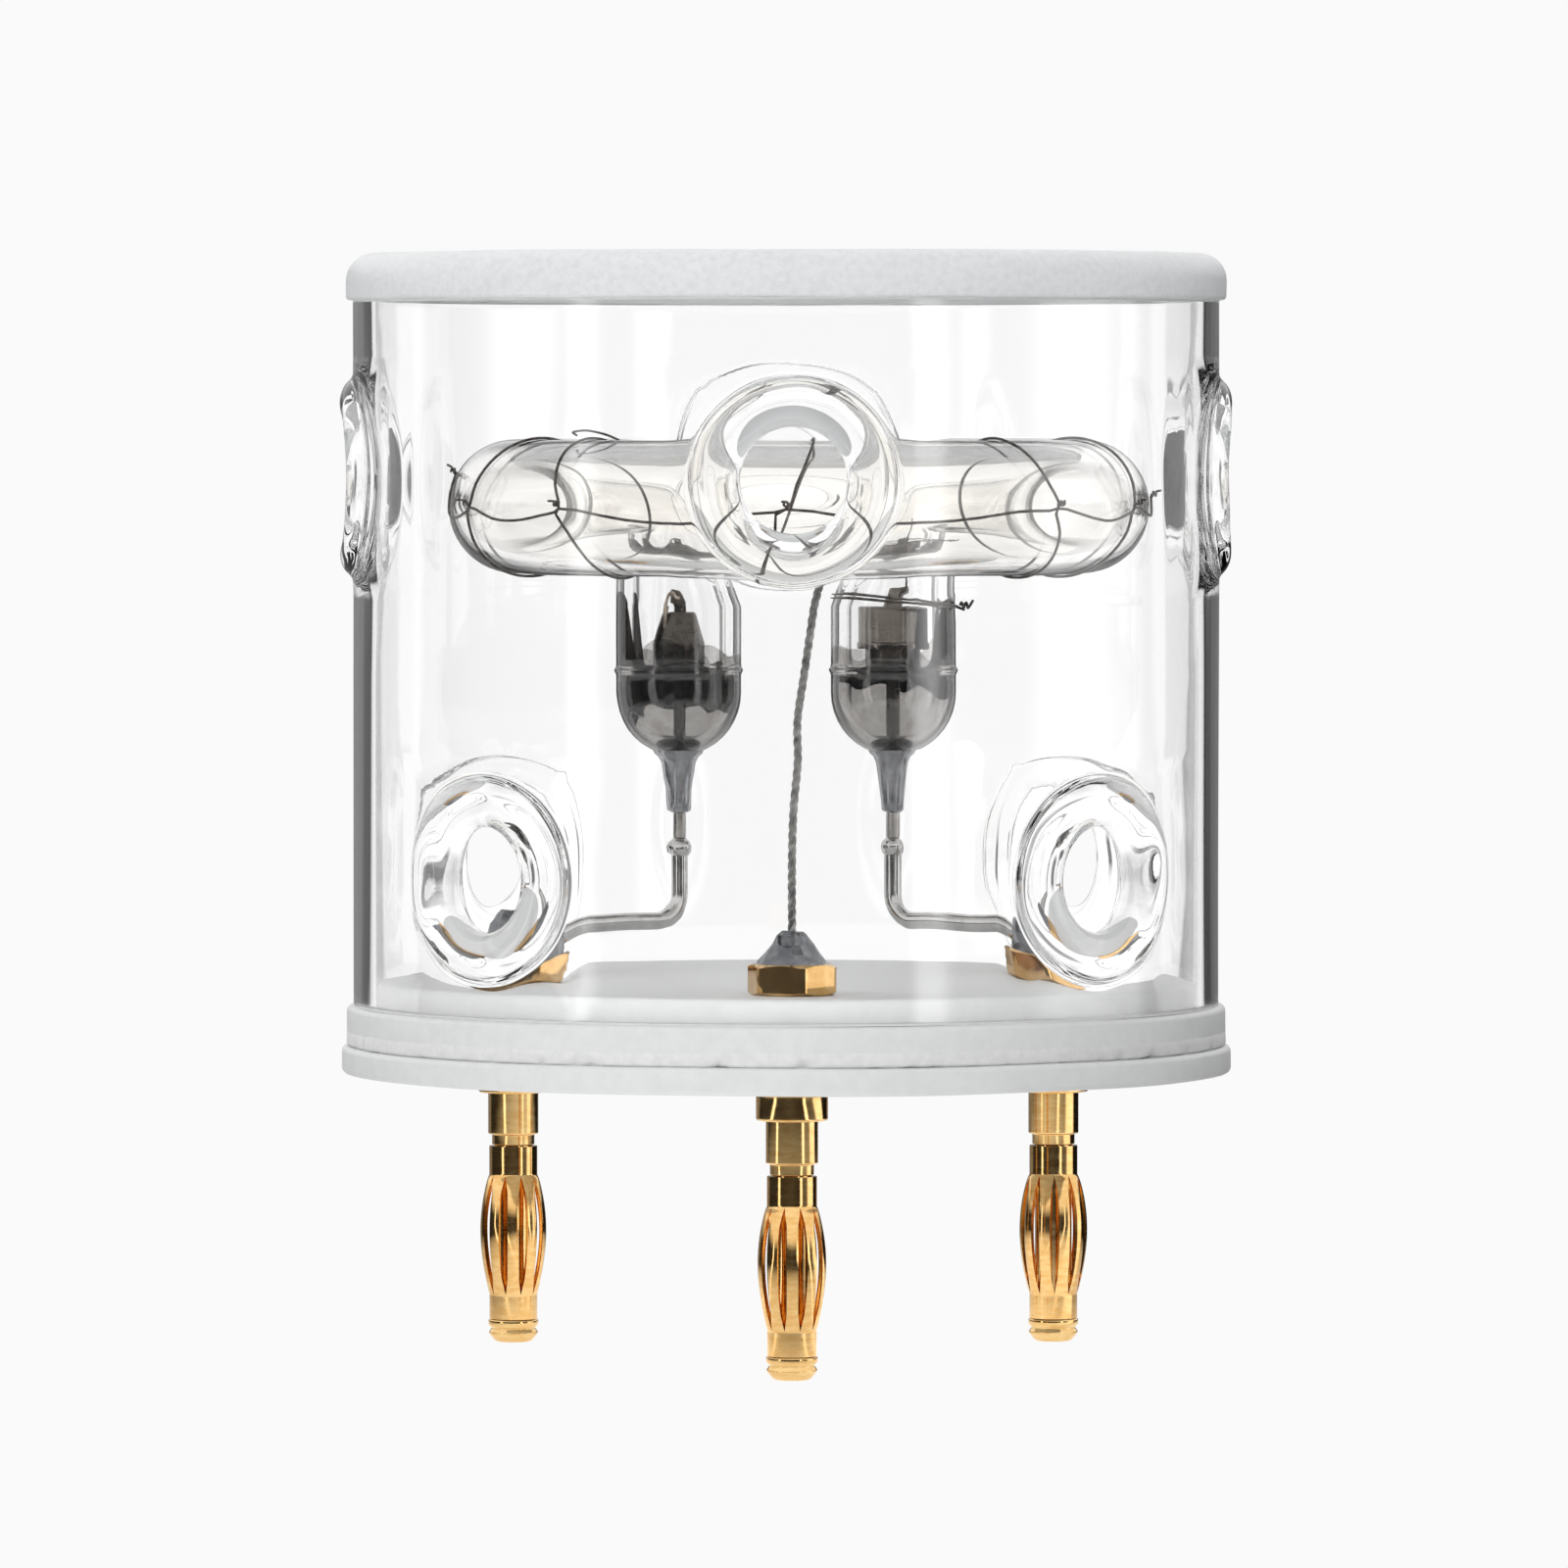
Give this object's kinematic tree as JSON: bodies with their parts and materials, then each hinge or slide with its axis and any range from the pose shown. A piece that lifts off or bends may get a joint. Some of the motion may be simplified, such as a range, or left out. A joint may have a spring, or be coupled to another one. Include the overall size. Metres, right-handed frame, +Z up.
{
  "type": "plug-in ring flash tube unit",
  "caption": "Ring-shaped glass flash tube with trigger wire in a vented clear glass cylinder, on a white ceramic base with gold spring plugs.",
  "frame": {"origin": "centre of the flat underside of the base, on the unit's axis", "axes": "+Z up along the unit's axis, from the plugs towards the cap; the front plug stands at -Y, the other two at the back left and back right"},
  "size_m": [0.0622, 0.0622, 0.0769],
  "materials": {
    "ceramic": "satin",
    "cement": "matte",
    "clear_glass": "polished",
    "frosted_glass": "satin",
    "coated_glass": "polished",
    "seal_glass": "polished",
    "tungsten": "satin",
    "nickel": "satin",
    "wire": "satin",
    "gold_plate": "polished",
    "brass": "polished",
    "solder": "satin"
  },
  "bodies": {
    "unit": {"base_flange": "ceramic", "base_cement": "cement", "base_boss": "ceramic", "foot_cement": "cement", "glass_cylinder": "clear_glass", "cap_cement": "cement", "top_cap": "frosted_glass", "flash_tube": "coated_glass", "left_seal": "seal_glass", "right_seal": "seal_glass", "anode": "tungsten", "getter": "nickel", "cathode": "tungsten", "left_lead": "nickel", "right_lead": "nickel", "trigger_wire": "wire", "trigger_lead": "wire", "front_plug": "gold_plate", "left_plug": "gold_plate", "right_plug": "gold_plate", "terminal_nuts": "brass", "front_solder": "solder", "left_solder": "solder", "right_solder": "solder"},
    "front_spring": {"front_cage": "gold_plate"},
    "left_spring": {"left_cage": "gold_plate"},
    "right_spring": {"right_cage": "gold_plate"}
  },
  "joints": [
    {"name": "front_cage_turn", "type": "hinge", "parent": "unit", "child": "front_spring", "pos_m": [0, -0.0221, -0.012], "axis": [0, 0, 1], "continuous": true},
    {"name": "left_cage_turn", "type": "hinge", "parent": "unit", "child": "left_spring", "pos_m": [-0.01914, 0.01105, -0.012], "axis": [0, 0, 1], "continuous": true},
    {"name": "right_cage_turn", "type": "hinge", "parent": "unit", "child": "right_spring", "pos_m": [0.01914, 0.01105, -0.012], "axis": [0, 0, 1], "continuous": true}
  ]
}
